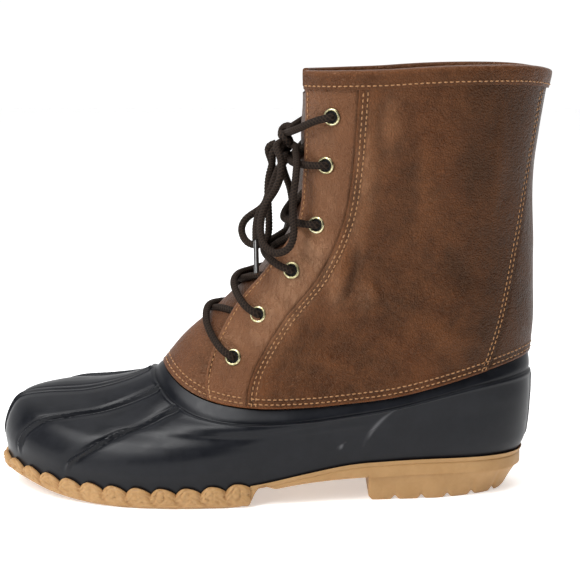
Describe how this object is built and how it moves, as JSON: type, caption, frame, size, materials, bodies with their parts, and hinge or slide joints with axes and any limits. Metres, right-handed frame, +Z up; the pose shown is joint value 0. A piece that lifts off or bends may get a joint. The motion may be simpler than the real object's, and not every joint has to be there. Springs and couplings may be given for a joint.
{
  "type": "duck boot",
  "caption": "Lace-up duck boot with a gum sole, moulded rubber foot and brown leather shaft, left shoe, empty and standing.",
  "frame": {"origin": "middle of the boot's box in plan, on the floor", "axes": "+Z up, -X towards the toe, -Y towards the outer side"},
  "size_m": [0.3106, 0.1016, 0.2407],
  "materials": {
    "gum": "matte",
    "rubber": "satin",
    "leather": "satin",
    "insole": "matte",
    "eyelet": "antique",
    "lace": "matte",
    "aglet": "gloss"
  },
  "bodies": {
    "root": {"outsole": "gum", "rubber_shell": "rubber", "insole": "insole", "leather_upper": "leather", "collar_cuff": "leather", "tongue": "leather", "eyelet_outer_1": "eyelet", "eyelet_outer_2": "eyelet", "eyelet_outer_3": "eyelet", "eyelet_outer_4": "eyelet", "eyelet_outer_5": "eyelet", "eyelet_outer_6": "eyelet", "eyelet_inner_1": "eyelet", "eyelet_inner_2": "eyelet", "eyelet_inner_3": "eyelet", "eyelet_inner_4": "eyelet", "eyelet_inner_5": "eyelet", "eyelet_inner_6": "eyelet", "lace_crossings": "lace", "lace_knot": "lace", "lace_loop_near": "lace", "lace_loop_far": "lace", "lace_end_near": "lace", "lace_end_far": "lace", "aglet_near": "aglet", "aglet_far": "aglet"}
  },
  "joints": []
}
